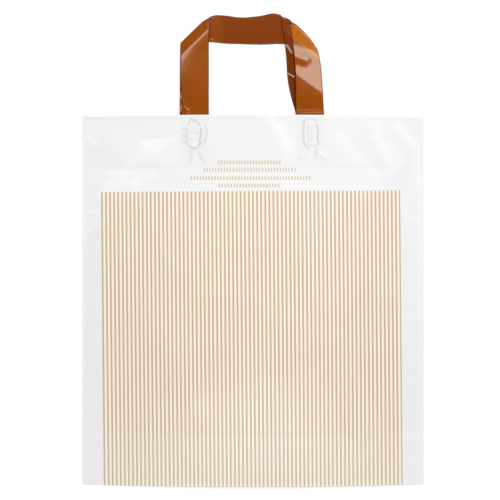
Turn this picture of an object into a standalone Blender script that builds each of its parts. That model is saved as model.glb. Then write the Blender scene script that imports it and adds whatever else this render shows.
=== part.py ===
"""A plastic carrier bag with two soft loop handles, lying on its back.

The bag is one film. It starts at the free edge of the front hem, turns over at the mouth, runs down the front, is
pleated inwards at the bottom, runs up the back and turns in again as the back hem, and all its layers are fused
together down both sides. Each handle is a flat ribbon that is folded over at its two top corners and welded by its
tails to the inside of a hem. X runs across the bag, +Y towards the handles and +Z up from the surface that the bag
lies on. Lengths are in metres.
"""

import math
from collections.abc import Callable
from dataclasses import dataclass

import bmesh
import bpy

# Bag
BAG_WIDTH = 0.350
BAG_HEIGHT = 0.381  # bottom fold to mouth fold
FILM_THICKNESS = 0.00007
HEM_DEPTH = 0.054
GUSSET_DEPTH = 0.055
SEAL_WIDTH = 0.0025
SEAL_COVER = 0.00015  # seal bead above and below the film that it fuses
SEAL_LIP = 0.0004  # seal bead past the cut edge of the film
SEAL_SHORT = 0.0006  # the bead stops this far from the folds at its ends
SEAL_MARGIN = 0.0006  # the film runs level from this far inside a bead
PRESSED_GAP = 0.00015  # air between the layers beside a seal
FOLD_GAP = 0.0008  # air between two layers that turn into each other at a fold
SETTLING_WIDTH = 0.012  # strip beside a seal in which the layers come together

# How the empty bag lies open
LOFT = 0.0135  # rise of the front panel over the back one, at its highest
BOTTOM_LOFT_SHARE = 0.22
MOUTH_LOFT_SHARE = 0.74
BOTTOM_RISE_LENGTH = 0.150
MOUTH_FALL_LENGTH = 0.170

# Handles
RIBBON_WIDTH = 0.029
RIBBON_THICKNESS = 0.00015
HANDLE_RISE = 0.1035  # mouth fold to the top edge of the handles
TAIL_LENGTH = 0.048
LEG_SPACING = 0.1178  # middle of the left leg to middle of the right one, at the mouth
HANDLE_OFFSET = -0.0008  # the front handle's middle, from the bag's
BACK_HANDLE_OFFSET = -0.0016
INNER_FOLD_RADIUS = 0.0006  # of the back handle, which is folded inside the front one
RIGHT_CORNER_DROP = 0.004  # of the front handle, below its left corner
BACK_CROSSBAR_DROP = 0.0015  # below the left corner of the front handle
CLEARANCE = 0.0003

# Printed block of stripes, which runs round the bottom fold
PRINT_LEFT = -0.1564
PRINT_RIGHT = 0.1503
PRINT_TOP_BELOW_MOUTH = 0.079
STRIPE_PITCH = 0.00418
STRIPE_SHARE = 0.45

# Faces across and along each stretch
FILM_COLUMNS = 28
FRONT_ROWS = 30
BACK_ROWS = 6
HEM_ROWS = 4
GUSSET_ROWS = 5
FOLD_STEPS = 4
RIBBON_COLUMNS = 4
LEG_ROWS = 14
CROSSBAR_ROWS = 7

FILM_WHITE = (0.86, 0.86, 0.86, 1)
PRINT_CREAM = (0.99, 0.87, 0.69, 1)
PRINT_TAN = (0.58, 0.47, 0.33, 1)
RIBBON_BROWN = (0.27, 0.065, 0.004, 1)

TOTAL_HEIGHT = BAG_HEIGHT + HANDLE_RISE
Y_BOTTOM = -TOTAL_HEIGHT / 2
Y_MOUTH = Y_BOTTOM + BAG_HEIGHT
HEM_EDGE = Y_MOUTH - HEM_DEPTH
GUSSET_TOP = Y_BOTTOM + GUSSET_DEPTH
PRESSED_STEP = FILM_THICKNESS + PRESSED_GAP
FOLD_STEP = FILM_THICKNESS + FOLD_GAP
PANEL_EDGE = BAG_WIDTH / 2 - SEAL_WIDTH - SEAL_MARGIN
PRESSED_STACK = 3 * PRESSED_STEP  # from the lowest of four layers to the highest, between their middles


@dataclass(frozen=True)
class Crease:
    """A soft ridge of the front panel: its ends, its height and half its width."""

    start: tuple[float, float]
    end: tuple[float, float]
    height: float
    reach: float


CREASES = (
    Crease((-0.157, 0.029), (-0.121, 0.059), 0.0014, 0.009),
    Crease((-0.150, 0.110), (-0.084, 0.086), 0.0012, 0.014),
    Crease((0.011, 0.136), (0.029, 0.098), 0.0012, 0.012),
    Crease((0.124, 0.122), (0.146, 0.082), 0.0018, 0.010),
    Crease((0.031, 0.062), (0.080, -0.060), 0.0014, 0.016),
    Crease((0.080, -0.060), (0.135, -0.174), 0.0014, 0.016),
    Crease((0.108, 0.050), (0.110, -0.040), 0.0013, 0.012),
    Crease((-0.110, -0.060), (-0.060, -0.150), 0.0011, 0.016),
)


@dataclass(frozen=True)
class Loop:
    """A ribbon handle: the middles of its legs at the mouth, their leans, its two top corners and how it is folded.

    A lean is in radians, towards +X going up. The crossbar lies under the legs, a fold's depth below them, and
    leg_rest is how high the legs lie at the top.
    """

    name: str
    left_x: float
    left_lean: float
    right_x: float
    right_lean: float
    left_corner_y: float
    right_corner_y: float
    fold_radius: float
    leg_rest: float


CORNER_Y = TOTAL_HEIGHT / 2 - RIBBON_WIDTH / 2
RIBBON_STEP = RIBBON_THICKNESS + CLEARANCE
OUTER_FOLD_RADIUS = INNER_FOLD_RADIUS + RIBBON_STEP
FRONT_LEG_REST = RIBBON_STEP + 2 * OUTER_FOLD_RADIUS
FRONT_LOOP = Loop(
    name="front_handle",
    left_x=HANDLE_OFFSET - LEG_SPACING / 2,
    left_lean=0.0,
    right_x=HANDLE_OFFSET + LEG_SPACING / 2,
    right_lean=math.radians(-3.2),
    left_corner_y=CORNER_Y,
    right_corner_y=CORNER_Y - RIGHT_CORNER_DROP,
    fold_radius=OUTER_FOLD_RADIUS,
    leg_rest=FRONT_LEG_REST,
)
BACK_LOOP = Loop(
    name="back_handle",
    left_x=BACK_HANDLE_OFFSET - LEG_SPACING / 2,
    left_lean=math.radians(0.4),
    right_x=BACK_HANDLE_OFFSET + LEG_SPACING / 2,
    right_lean=math.radians(-8),
    left_corner_y=CORNER_Y - BACK_CROSSBAR_DROP,
    right_corner_y=CORNER_Y - BACK_CROSSBAR_DROP,
    fold_radius=INNER_FOLD_RADIUS,
    leg_rest=FRONT_LEG_REST - RIBBON_STEP,
)
TAIL_STEP = FILM_THICKNESS / 2 + RIBBON_THICKNESS / 2 + CLEARANCE


def clear_scene():
    for obj in list(bpy.data.objects):
        bpy.data.objects.remove(obj, do_unlink=True)


def collection_named(name):
    collection = bpy.data.collections.new(name)
    bpy.context.scene.collection.children.link(collection)
    return collection


def eased(t):
    """0 up to 0, 1 from 1 on, and an even S between them."""
    t = min(max(t, 0.0), 1.0)
    return t * t * (3 - 2 * t)


def between(a, b, share):
    return a + (b - a) * share


def settled(x):
    """0 beside the side seals, where the layers are pressed together, and 1 further in."""
    return eased((PANEL_EDGE - abs(x)) / SETTLING_WIDTH)


def layer_step(x):
    """Distance between the middles of two layers that turn into each other at a fold."""
    return between(PRESSED_STEP, FOLD_STEP, settled(x))


def crease_height(crease, x, y):
    """A bell-shaped ridge along a line, which dies away past both ends."""
    run_x, run_y = crease.end[0] - crease.start[0], crease.end[1] - crease.start[1]
    length = math.hypot(run_x, run_y)
    from_start_x, from_start_y = x - crease.start[0], y - crease.start[1]
    along = (from_start_x * run_x + from_start_y * run_y) / length
    across = (from_start_x * run_y - from_start_y * run_x) / length
    past_end = max(-along, along - length, 0.0)
    return crease.height * math.exp(-((across / crease.reach) ** 2) - (past_end / crease.reach) ** 2)


def back_height(x):
    """The back panel lies flat, and lifts into the bead at its side seals."""
    return FILM_THICKNESS / 2 + SEAL_COVER * (1 - settled(x))


def front_height(x, y):
    """The front panel: a low arch between the seals, lower towards the bottom and the mouth, with its creases."""
    arch = 1 - min(abs(x) / PANEL_EDGE, 1.0) ** 2
    rise = between(BOTTOM_LOFT_SHARE, 1.0, eased((y - Y_BOTTOM) / BOTTOM_RISE_LENGTH))
    fall = between(MOUTH_LOFT_SHARE, 1.0, eased((Y_MOUTH - y) / MOUTH_FALL_LENGTH))
    creases = settled(x) * sum(crease_height(crease, x, y) for crease in CREASES)
    return back_height(x) + PRESSED_STACK + LOFT * arch * rise * fall + creases


def front_hem_height(x, y):
    return front_height(x, y) - layer_step(x)


def back_hem_height(x, _y):
    return back_height(x) + layer_step(x)


def gusset_share(y):
    return eased((y - Y_BOTTOM) / GUSSET_DEPTH)


def front_leaf_height(x, y):
    """The pleat's front leaf, from the front panel at the bottom fold to the middle at the pleat's own fold."""
    middle = (back_height(x) + front_height(x, y)) / 2
    return between(front_hem_height(x, y), middle + layer_step(x) / 2, gusset_share(y))


def back_leaf_height(x, y):
    middle = (back_height(x) + front_height(x, y)) / 2
    return between(back_hem_height(x, y), middle - layer_step(x) / 2, gusset_share(y))


@dataclass(frozen=True)
class Run:
    """A stretch of the film between two folds: how high it lies, where it starts and ends, and its rows of faces."""

    height: Callable[[float, float], float]
    start: float
    end: float
    rows: int
    folded_start: bool = True
    folded_end: bool = True


FILM_RUNS = (
    Run(front_hem_height, HEM_EDGE, Y_MOUTH, HEM_ROWS, folded_start=False),
    Run(front_height, Y_MOUTH, Y_BOTTOM, FRONT_ROWS),
    Run(front_leaf_height, Y_BOTTOM, GUSSET_TOP, GUSSET_ROWS),
    Run(back_leaf_height, GUSSET_TOP, Y_BOTTOM, GUSSET_ROWS),
    Run(lambda x, _y: back_height(x), Y_BOTTOM, Y_MOUTH, BACK_ROWS),
    Run(back_hem_height, Y_MOUTH, HEM_EDGE, HEM_ROWS, folded_end=False),
)


def run_ends(run, x):
    """Where the run's faces start and end: a fold takes up half a layer step of its length."""
    turn = layer_step(x) / 2
    way = math.copysign(1, run.end - run.start)
    return run.start + way * turn * run.folded_start, run.end - way * turn * run.folded_end


def film_section(x):
    """The points (y, z) of the film's section at x, from hem edge to hem edge."""
    points = []
    for run, following in zip(FILM_RUNS, FILM_RUNS[1:] + (None,)):
        start, end = run_ends(run, x)
        for row in range(run.rows + 1):
            y = between(start, end, row / run.rows)
            points.append((y, run.height(x, y)))
        if following is None:
            continue
        low, high = run.height(x, end), following.height(x, end)
        for step in range(1, FOLD_STEPS):
            angle = math.pi * step / FOLD_STEPS
            y = end + (run.end - end) * math.sin(angle)
            points.append((y, between(low, high, (1 - math.cos(angle)) / 2)))
    return points


def film_stations():
    """The places across the bag where its section is taken: evenly between the seals, and once inside each seal."""
    cut_edge = BAG_WIDTH / 2 - SEAL_LIP
    inner = FILM_COLUMNS - 2
    even = [between(-PANEL_EDGE, PANEL_EDGE, i / inner) for i in range(inner + 1)]
    return [-cut_edge, *even, cut_edge]


def grid_object(name, collection, material, columns):
    """A grid whose columns of points are given, each one a list of (x, y, z) of the same length."""
    across, along = len(columns) - 1, len(columns[0]) - 1
    bm = bmesh.new()
    bmesh.ops.create_grid(bm, x_segments=across, y_segments=along, size=0.5)
    for vert in bm.verts:
        i = round((vert.co.x + 0.5) * across)
        j = round((vert.co.y + 0.5) * along)
        vert.co = columns[i][j]
    mesh = bpy.data.meshes.new(name)
    bm.to_mesh(mesh)
    bm.free()
    mesh.materials.append(material)
    mesh.shade_smooth()
    obj = bpy.data.objects.new(name, mesh)
    collection.objects.link(obj)
    return obj


def thicken(obj, thickness):
    solidify = obj.modifiers.new("thickness", "SOLIDIFY")
    solidify.thickness = thickness
    solidify.offset = 0
    solidify.use_even_offset = True


def seal_bead(side, material, collection):
    """The fused bead down one side, which joins every layer of the film."""
    height = PRESSED_STACK + FILM_THICKNESS + 2 * SEAL_COVER
    length = BAG_HEIGHT - 2 * SEAL_SHORT
    middle = (side * (BAG_WIDTH - SEAL_WIDTH) / 2, (Y_BOTTOM + Y_MOUTH) / 2, height / 2)
    bpy.ops.mesh.primitive_cube_add(size=1, location=middle)
    bead = bpy.context.object
    bead.name = "seal_bead_left" if side < 0 else "seal_bead_right"
    bead.scale = (SEAL_WIDTH, length, height)
    bpy.ops.object.transform_apply(location=False, rotation=False, scale=True)
    bead.data.materials.append(material)
    bead.hide_render = True
    bead.display_type = "WIRE"
    for owner in list(bead.users_collection):
        owner.objects.unlink(bead)
    collection.objects.link(bead)
    return bead


def build_bag(parts, helpers, material):
    columns = [[(x, y, z) for y, z in film_section(x)] for x in film_stations()]
    bag = grid_object("bag_body", parts, material, columns)
    thicken(bag, FILM_THICKNESS)
    for side in (-1, 1):
        seal = bag.modifiers.new("side_seal", "BOOLEAN")
        seal.operation = "UNION"
        seal.solver = "EXACT"
        seal.object = seal_bead(side, material, helpers)
    return bag


@dataclass(frozen=True)
class Turn:
    """A ribbon's fold, at half the angle that it turns the ribbon by.

    point lies on the crease and on the ribbon's middle line, crease is the crease's direction, across points over it
    and side is 1 where the ribbon turns over on top of itself and -1 where it turns under.
    """

    point: tuple[float, float]
    crease: tuple[float, float]
    across: tuple[float, float]
    half_angle: float
    radius: float
    side: int

    def setback(self):
        """How far before its corner the ribbon starts to turn, and how far past it the turn ends."""
        return setback_of(self.half_angle, self.radius)

    def slant(self):
        """How far the crease runs along the ribbon for each metre across it."""
        return 1 / math.tan(self.half_angle)

    def fold(self, x, y, z):
        """Wraps what lies past the crease through a half turn, with no stretch."""
        radius = self.radius
        along = (x - self.point[0]) * self.crease[0] + (y - self.point[1]) * self.crease[1]
        past = (x - self.point[0]) * self.across[0] + (y - self.point[1]) * self.across[1]
        if past <= 0:
            return x, y, z
        angle = min(past / radius, math.pi)
        reach = radius * math.sin(angle) - max(past - math.pi * radius, 0.0)
        return (
            self.point[0] + along * self.crease[0] + reach * self.across[0],
            self.point[1] + along * self.crease[1] + reach * self.across[1],
            z + self.side * radius * (1 - math.cos(angle)),
        )


def setback_of(half_angle, radius):
    return math.pi * radius / (2 * math.sin(half_angle))


def turn_at(corner, into, out_of, radius, side):
    """The fold that takes a ribbon round a corner to the right, from one unit direction to another."""
    doubled = math.hypot(into[0] + out_of[0], into[1] + out_of[1])
    crease = ((into[0] + out_of[0]) / doubled, (into[1] + out_of[1]) / doubled)
    half_angle = math.acos(doubled / 2)
    setback = setback_of(half_angle, radius)
    point = (corner[0] - setback * into[0], corner[1] - setback * into[1])
    return Turn(point, crease, (-crease[1], crease[0]), half_angle, radius, side)


def handle_lines(loop):
    """Where a handle's left tail starts and which way it runs, its two turns, and the lengths of its three runs."""
    left_rise, right_rise = loop.left_corner_y - Y_MOUTH, loop.right_corner_y - Y_MOUTH
    left_up = (math.sin(loop.left_lean), math.cos(loop.left_lean))
    right_down = (-math.sin(loop.right_lean), -math.cos(loop.right_lean))
    left_corner = (loop.left_x + left_rise * math.tan(loop.left_lean), loop.left_corner_y)
    right_corner = (loop.right_x + right_rise * math.tan(loop.right_lean), loop.right_corner_y)
    across, up = right_corner[0] - left_corner[0], right_corner[1] - left_corner[1]
    span = math.hypot(across, up)
    rightwards = (across / span, up / span)
    first = turn_at(left_corner, left_up, rightwards, loop.fold_radius, -1)
    second = turn_at(right_corner, rightwards, right_down, loop.fold_radius, 1)
    tail = (loop.left_x - TAIL_LENGTH * math.tan(loop.left_lean), Y_MOUTH - TAIL_LENGTH)
    left_leg = (left_rise + TAIL_LENGTH) / math.cos(loop.left_lean) - first.setback()
    crossbar = span - first.setback() - second.setback()
    right_leg = (right_rise + TAIL_LENGTH) / math.cos(loop.right_lean) - second.setback()
    return tail, left_up, first, second, (left_leg, crossbar, right_leg)


def flat_rows(first, second, lengths):
    """The rows of a ribbon before it is folded, as (distance along it, slant of the row).

    A row's slant is how far it runs along the ribbon for each metre across, so that rows lie along the creases.
    """
    left_leg, crossbar, right_leg = lengths
    stretches = (
        (left_leg, first.slant(), LEG_ROWS),
        (2 * first.setback(), first.slant(), FOLD_STEPS),
        (crossbar, -second.slant(), CROSSBAR_ROWS),
        (2 * second.setback(), -second.slant(), FOLD_STEPS),
        (right_leg, 0.0, LEG_ROWS),
    )
    distance, row_slant = 0.0, 0.0
    rows = [(distance, row_slant)]
    for length, end_slant, count in stretches:
        for step in range(1, count + 1):
            share = step / count
            rows.append((distance + length * share, between(row_slant, end_slant, share)))
        distance, row_slant = distance + length, end_slant
    return rows


def leg_height(loop, x, y):
    """How high a handle's legs lie: against the hem inside the mouth, then down to rest past it."""
    inside = min(y, Y_MOUTH)
    if loop is FRONT_LOOP:
        tail = front_hem_height(x, inside) - TAIL_STEP
    else:
        tail = back_hem_height(x, inside) + TAIL_STEP
    free_length = loop.right_corner_y - RIBBON_WIDTH / 2 - Y_MOUTH
    return between(tail, loop.leg_rest, eased((y - Y_MOUTH) / free_length))


def build_handle(loop, collection, material):
    tail, up, first, second, lengths = handle_lines(loop)
    rows = flat_rows(first, second, lengths)
    columns = []
    for column in range(RIBBON_COLUMNS + 1):
        across = RIBBON_WIDTH * (column / RIBBON_COLUMNS - 0.5)
        points = []
        for distance, row_slant in rows:
            along = distance + across * row_slant
            x = tail[0] + along * up[0] + across * up[1]
            y = tail[1] + along * up[1] - across * up[0]
            x, y, z = second.fold(*first.fold(x, y, 0.0))
            points.append((x, y, leg_height(loop, x, y) + z))
        columns.append(points)
    handle = grid_object(loop.name, collection, material, columns)
    thicken(handle, RIBBON_THICKNESS)
    return handle


def plain_material(name, color, roughness):
    material = bpy.data.materials.new(name)
    material.use_nodes = True
    shader = material.node_tree.nodes["Principled BSDF"]
    shader.inputs["Base Color"].default_value = color
    shader.inputs["Roughness"].default_value = roughness
    shader.inputs["Metallic"].default_value = 0
    return material


def film_material():
    """Milky film with a block of upright stripes, which both panels carry down to the bottom fold."""
    material = plain_material("milky_film", FILM_WHITE, 0.3)
    nodes, links = material.node_tree.nodes, material.node_tree.links
    place = nodes.new("ShaderNodeSeparateXYZ")
    links.new(nodes.new("ShaderNodeTexCoord").outputs["Object"], place.inputs[0])

    def maths(operation, a, b):
        node = nodes.new("ShaderNodeMath")
        node.operation = operation
        for socket, value in zip(node.inputs, (a, b)):
            if isinstance(value, (int, float)):
                socket.default_value = value
            else:
                links.new(value, socket)
        return node.outputs[0]

    def mixed(share, color, other):
        node = nodes.new("ShaderNodeMix")
        node.data_type = "RGBA"
        links.new(share, node.inputs["Factor"])
        for socket, value in ((node.inputs[6], color), (node.inputs[7], other)):
            if isinstance(value, tuple):
                socket.default_value = value
            else:
                links.new(value, socket)
        return node.outputs[2]

    x, y = place.outputs["X"], place.outputs["Y"]
    from_left = maths("DIVIDE", maths("SUBTRACT", x, PRINT_LEFT), STRIPE_PITCH)
    stripe = maths("LESS_THAN", maths("FLOORED_MODULO", from_left, 1), STRIPE_SHARE)
    sides = maths("MULTIPLY", maths("GREATER_THAN", x, PRINT_LEFT), maths("LESS_THAN", x, PRINT_RIGHT))
    block = maths("MULTIPLY", sides, maths("LESS_THAN", y, Y_MOUTH - PRINT_TOP_BELOW_MOUTH))
    printed = mixed(stripe, PRINT_CREAM, PRINT_TAN)
    links.new(mixed(block, FILM_WHITE, printed), nodes["Principled BSDF"].inputs["Base Color"])
    return material


def main():
    clear_scene()
    parts = collection_named("carrier_bag")
    helpers = collection_named("cutters")
    film = film_material()
    ribbon = plain_material("brown_ribbon", RIBBON_BROWN, 0.25)
    build_bag(parts, helpers, film)
    for loop in (FRONT_LOOP, BACK_LOOP):
        build_handle(loop, parts, ribbon)


main()
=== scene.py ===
"""The looks of a plastic carrier bag that lies on its back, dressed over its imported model.

The bag is one milky film, folded from hem to hem, with a printed block of upright stripes and a fused bead
down each side. Two brown ribbons, folded over together at their top corners, are its handles. X runs across
the bag, +Y towards the handles and +Z up from the surface that it lies on. Lengths are in metres.
"""

import logging
import math
from collections.abc import Callable, Sequence
from dataclasses import dataclass, field
from enum import Enum

import bpy
import numpy as np
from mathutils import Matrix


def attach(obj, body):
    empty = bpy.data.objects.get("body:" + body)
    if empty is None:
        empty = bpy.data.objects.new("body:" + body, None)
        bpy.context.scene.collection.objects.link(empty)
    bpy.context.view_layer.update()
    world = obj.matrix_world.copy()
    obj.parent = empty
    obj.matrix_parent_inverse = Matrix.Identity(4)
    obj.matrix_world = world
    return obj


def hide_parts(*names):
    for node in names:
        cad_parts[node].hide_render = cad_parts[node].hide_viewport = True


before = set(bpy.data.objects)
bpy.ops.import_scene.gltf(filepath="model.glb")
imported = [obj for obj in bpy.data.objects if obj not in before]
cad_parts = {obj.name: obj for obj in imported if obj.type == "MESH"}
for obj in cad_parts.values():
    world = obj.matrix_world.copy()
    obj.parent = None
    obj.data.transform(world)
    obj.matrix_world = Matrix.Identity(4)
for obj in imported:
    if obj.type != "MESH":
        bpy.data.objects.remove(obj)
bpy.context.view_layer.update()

Array = np.ndarray
Point = tuple[float, float]
Color = tuple[float, float, float, float]

log = logging.getLogger("carrier_bag")


class FoldWay(Enum):
    """Which way a ribbon turns at a corner: over on top of itself or under."""

    OVER = 1
    UNDER = -1


class Handle(Enum):
    """The two handles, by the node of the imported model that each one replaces."""

    FRONT = "front_handle"
    BACK = "back_handle"


def eased(t: Array) -> Array:
    """An even S from 0 to 1: three times the square of t less twice its cube, and level outside.

    Args:
        t: Where along the S, 0 at its start and 1 at its end.

    Returns:
        The height of the S there.
    """
    t = np.clip(t, 0.0, 1.0)
    return t * t * (3 - 2 * t)


def between(a: Array | float, b: Array | float, share: Array | float) -> Array | float:
    """The value at a share of the way from a to b."""
    return a + (b - a) * share


def graded(breaks: Sequence[float], steps: Sequence[float]) -> Array:
    """Stations along a line, with their own spacing between each two of the break points.

    Args:
        breaks: The places where the spacing changes, in order, with both ends.
        steps: The most that two stations may be apart in each stretch.

    Returns:
        All stations from the first break to the last.
    """
    pieces = [np.array([breaks[0]])]
    for start, end, step in zip(breaks, breaks[1:], steps):
        count = math.ceil(abs(end - start) / step)
        pieces.append(np.linspace(start, end, count + 1)[1:])
    return np.concatenate(pieces)


def sheet_mesh(name: str, points: Array, flat: Array | None = None, tube: bool = False) -> bpy.types.Object:
    """An object whose four-sided faces join a grid of points, row to row and column to column.

    Args:
        name: The object's name.
        points: The grid, as rows, columns and the three coordinates.
        flat: The same grid laid flat, as rows, columns and two coordinates, for the object's UV map.
        tube: Whether the last column joins the first one, with both ends closed.

    Returns:
        The object, linked to the scene, smooth and without modifiers.
    """
    rows, columns = points.shape[:2]
    index = np.arange(rows * columns).reshape(rows, columns)
    if tube:
        index = np.hstack([index, index[:, :1]])
    corners = (index[:-1, :-1], index[:-1, 1:], index[1:, 1:], index[1:, :-1])
    faces = np.stack(corners, axis=-1).reshape(-1, 4).tolist()
    if tube:
        faces += [index[0, :-1][::-1].tolist(), index[-1, :-1].tolist()]
    mesh = bpy.data.meshes.new(name)
    mesh.from_pydata(points.reshape(-1, 3).tolist(), [], faces)
    if flat is not None:
        used = np.empty(len(mesh.loops), dtype=np.int32)
        mesh.loops.foreach_get("vertex_index", used)
        places = flat.reshape(-1, 2)[used].astype(np.float32)
        mesh.uv_layers.new(name="flat").data.foreach_set("uv", places.ravel())
    mesh.polygons.foreach_set("use_smooth", np.ones(len(mesh.polygons), dtype=bool))
    mesh.update()
    obj = bpy.data.objects.new(name, mesh)
    bpy.context.scene.collection.objects.link(obj)
    return obj


def mark(obj: bpy.types.Object, name: str, values: Array) -> None:
    """Keeps a number at each of the object's points, which its material can read.

    Args:
        obj: The object.
        name: The attribute's name.
        values: The numbers, in the order of the points.
    """
    attribute = obj.data.attributes.new(name, "FLOAT", "POINT")
    attribute.data.foreach_set("value", values.astype(np.float32).ravel())


def thicken(obj: bpy.types.Object, thickness: float) -> None:
    """Gives a sheet its thickness, half of it to each side."""
    wall = obj.modifiers.new("thickness", "SOLIDIFY")
    wall.thickness = thickness
    wall.offset = 0


@dataclass(frozen=True)
class Signal:
    """The output of a node, with Python's signs for sums on it.

    Attributes:
        tree: The material that the node is in.
        socket: The output itself.
    """

    tree: "NodeTree"
    socket: bpy.types.NodeSocket

    def __add__(self, other: "Signal | float") -> "Signal":
        """The sum."""
        return self.tree.maths("ADD", self, other)

    def __radd__(self, other: float) -> "Signal":
        """The sum, with a number first."""
        return self.tree.maths("ADD", other, self)

    def __sub__(self, other: "Signal | float") -> "Signal":
        """The difference."""
        return self.tree.maths("SUBTRACT", self, other)

    def __rsub__(self, other: float) -> "Signal":
        """The difference, with a number first."""
        return self.tree.maths("SUBTRACT", other, self)

    def __mul__(self, other: "Signal | float") -> "Signal":
        """The product."""
        return self.tree.maths("MULTIPLY", self, other)

    def __rmul__(self, other: float) -> "Signal":
        """The product, with a number first."""
        return self.tree.maths("MULTIPLY", other, self)

    def __truediv__(self, other: "Signal | float") -> "Signal":
        """The quotient."""
        return self.tree.maths("DIVIDE", self, other)

    def __abs__(self) -> "Signal":
        """The size without its sign."""
        return self.tree.maths("ABSOLUTE", self)


class NodeTree:
    """A material's nodes, made one by one from their settings and what goes into their sockets."""

    def __init__(self, name: str) -> None:
        """Starts a material.

        Args:
            name: The material's name.
        """
        self.material = bpy.data.materials.new(name)
        self.material.use_nodes = True
        self.tree = self.material.node_tree
        self.shader = self.tree.nodes["Principled BSDF"]
        self.output = self.tree.nodes["Material Output"]

    def node(self, kind: str, settings: dict | None = None, inputs: dict | None = None) -> bpy.types.Node:
        """Makes a node.

        Args:
            kind: The node's type.
            settings: Its own settings, such as an operation, which are set first.
            inputs: What goes into its sockets, by name or place: a signal, or a value for the socket itself.

        Returns:
            The node.
        """
        made = self.tree.nodes.new(kind)
        for name, value in (settings or {}).items():
            setattr(made, name, value)
        self.feed(made, inputs or {})
        return made

    def feed(self, node: bpy.types.Node, inputs: dict) -> None:
        """Puts signals or values into a node's sockets.

        Args:
            node: The node.
            inputs: Signals and values, by the socket's name or place.
        """
        for place, value in inputs.items():
            if isinstance(value, Signal):
                self.tree.links.new(value.socket, node.inputs[place])
            else:
                node.inputs[place].default_value = value

    def out(self, node: bpy.types.Node, place: str | int = 0) -> Signal:
        """One of a node's outputs as a signal."""
        return Signal(self, node.outputs[place])

    def maths(self, operation: str, *terms: "Signal | float") -> Signal:
        """A sum on signals and numbers, by the name that Blender has for it."""
        return self.out(self.node("ShaderNodeMath", {"operation": operation}, dict(enumerate(terms))))

    def rising(self, value: Signal, start: float, end: float) -> Signal:
        """An even S from 0 where the value is at start to 1 where it is at end.

        Args:
            value: The signal that is read.
            start: Where the S starts.
            end: Where it ends, above start or below it.

        Returns:
            The S, level outside both.
        """
        if end < start:
            return 1 - self.rising(value, end, start)
        settings = {"interpolation_type": "SMOOTHSTEP"}
        inputs = {"Value": value, "From Min": start, "From Max": end}
        return self.out(self.node("ShaderNodeMapRange", settings, inputs))

    def mixed(self, share: Signal, color: "Signal | Color", other: "Signal | Color") -> Signal:
        """A colour at a share of the way from one colour to another."""
        inputs = {"Factor": share, 6: color, 7: other}
        return self.out(self.node("ShaderNodeMix", {"data_type": "RGBA"}, inputs), 2)

    def axes(self, space: str) -> tuple[Signal, Signal, Signal]:
        """The three coordinates of a space that Texture Coordinate gives."""
        place = self.out(self.node("ShaderNodeTexCoord"), space)
        apart = self.node("ShaderNodeSeparateXYZ", {}, {0: place})
        return self.out(apart, 0), self.out(apart, 1), self.out(apart, 2)

    def vector(self, x: "Signal | float", y: "Signal | float", z: "Signal | float") -> Signal:
        """Three numbers as one vector."""
        return self.out(self.node("ShaderNodeCombineXYZ", {}, {0: x, 1: y, 2: z}))

    def attribute(self, name: str) -> Signal:
        """The number that each point of the object keeps under a name."""
        return self.out(self.node("ShaderNodeAttribute", {"attribute_name": name}), "Fac")

    def bump(self, height: Signal, distance: float, strength: float = 1.0) -> Signal:
        """A normal that follows a fine relief."""
        inputs = {"Height": height, "Distance": distance, "Strength": strength}
        return self.out(self.node("ShaderNodeBump", {}, inputs), "Normal")


@dataclass(frozen=True)
class Grain:
    """Soft noise about one half.

    Attributes:
        scale: How many lumps it has to the unit.
        detail: How many finer noises are added to it.
        roughness: How strong each of them is against the one before.
        drawn: How fast it changes along the first two axes, where 1 is as its scale says.
    """

    scale: float
    detail: float = 2.0
    roughness: float = 0.5
    drawn: Point = (1.0, 1.0)

    def over(self, tree: NodeTree, x: Signal, y: Signal, z: "Signal | float") -> Signal:
        """The noise at three coordinates."""
        place = tree.vector(x * self.drawn[0], y * self.drawn[1], z)
        inputs = {"Vector": place, "Scale": self.scale, "Detail": self.detail, "Roughness": self.roughness}
        return tree.out(tree.node("ShaderNodeTexNoise", {}, inputs), "Fac")


@dataclass(frozen=True)
class StripePrint:
    """The block of tan stripes on a cream ground, which leans a little and runs round the bottom fold.

    Attributes:
        left: The left edge of the block at the height of the lean's pivot.
        right: Its right edge there.
        top: Its top edge at its left end.
        pivot: The height at which left and right are given.
        lean: How far the block moves to the right for each metre down.
        tilt: How far its top edge rises for each metre to the right.
        pitch: One stripe and one gap.
        share: The part of the pitch that is tan.
        softness: Half the width over which a stripe's edge fades, as a part of the pitch.
        cream: The ground's colour.
        tan: The stripes' colour.
    """

    left: float = -0.1557
    right: float = 0.1508
    top: float = 0.0597
    pivot: float = 0.0517
    lean: float = 0.0090
    tilt: float = 0.0060
    pitch: float = 0.00418
    share: float = 0.45
    softness: float = 0.06
    cream: Color = (0.950, 0.865, 0.750, 1.0)
    tan: Color = (0.590, 0.455, 0.310, 1.0)

    def over(self, tree: NodeTree, ground: Signal, x: Signal, y: Signal) -> Signal:
        """Prints the block over a ground colour.

        A stripe is where the distance to the nearest stripe's middle is under half its width. The block's own
        edges are those of whole stripes at its sides, and nearly level at its top.

        Args:
            tree: The material.
            ground: The colour of the unprinted film.
            x: The coordinate across the bag.
            y: The coordinate along it.

        Returns:
            The printed colour.
        """
        straight = x + (y - self.pivot) * self.lean
        count = (straight - self.left) / self.pitch
        from_middle = tree.maths("PINGPONG", count - self.share / 2, 0.5)
        stripe = tree.rising(from_middle, self.share / 2 + self.softness, self.share / 2 - self.softness)
        fade = self.softness * self.pitch
        sides = tree.rising(straight, self.left - fade, self.left + fade) * tree.rising(
            straight, self.right + fade, self.right - fade
        )
        under_top = (straight - self.left) * self.tilt + self.top - y
        block = sides * tree.rising(under_top, -fade, fade)
        return tree.mixed(block, ground, tree.mixed(stripe, self.cream, self.tan))


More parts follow.
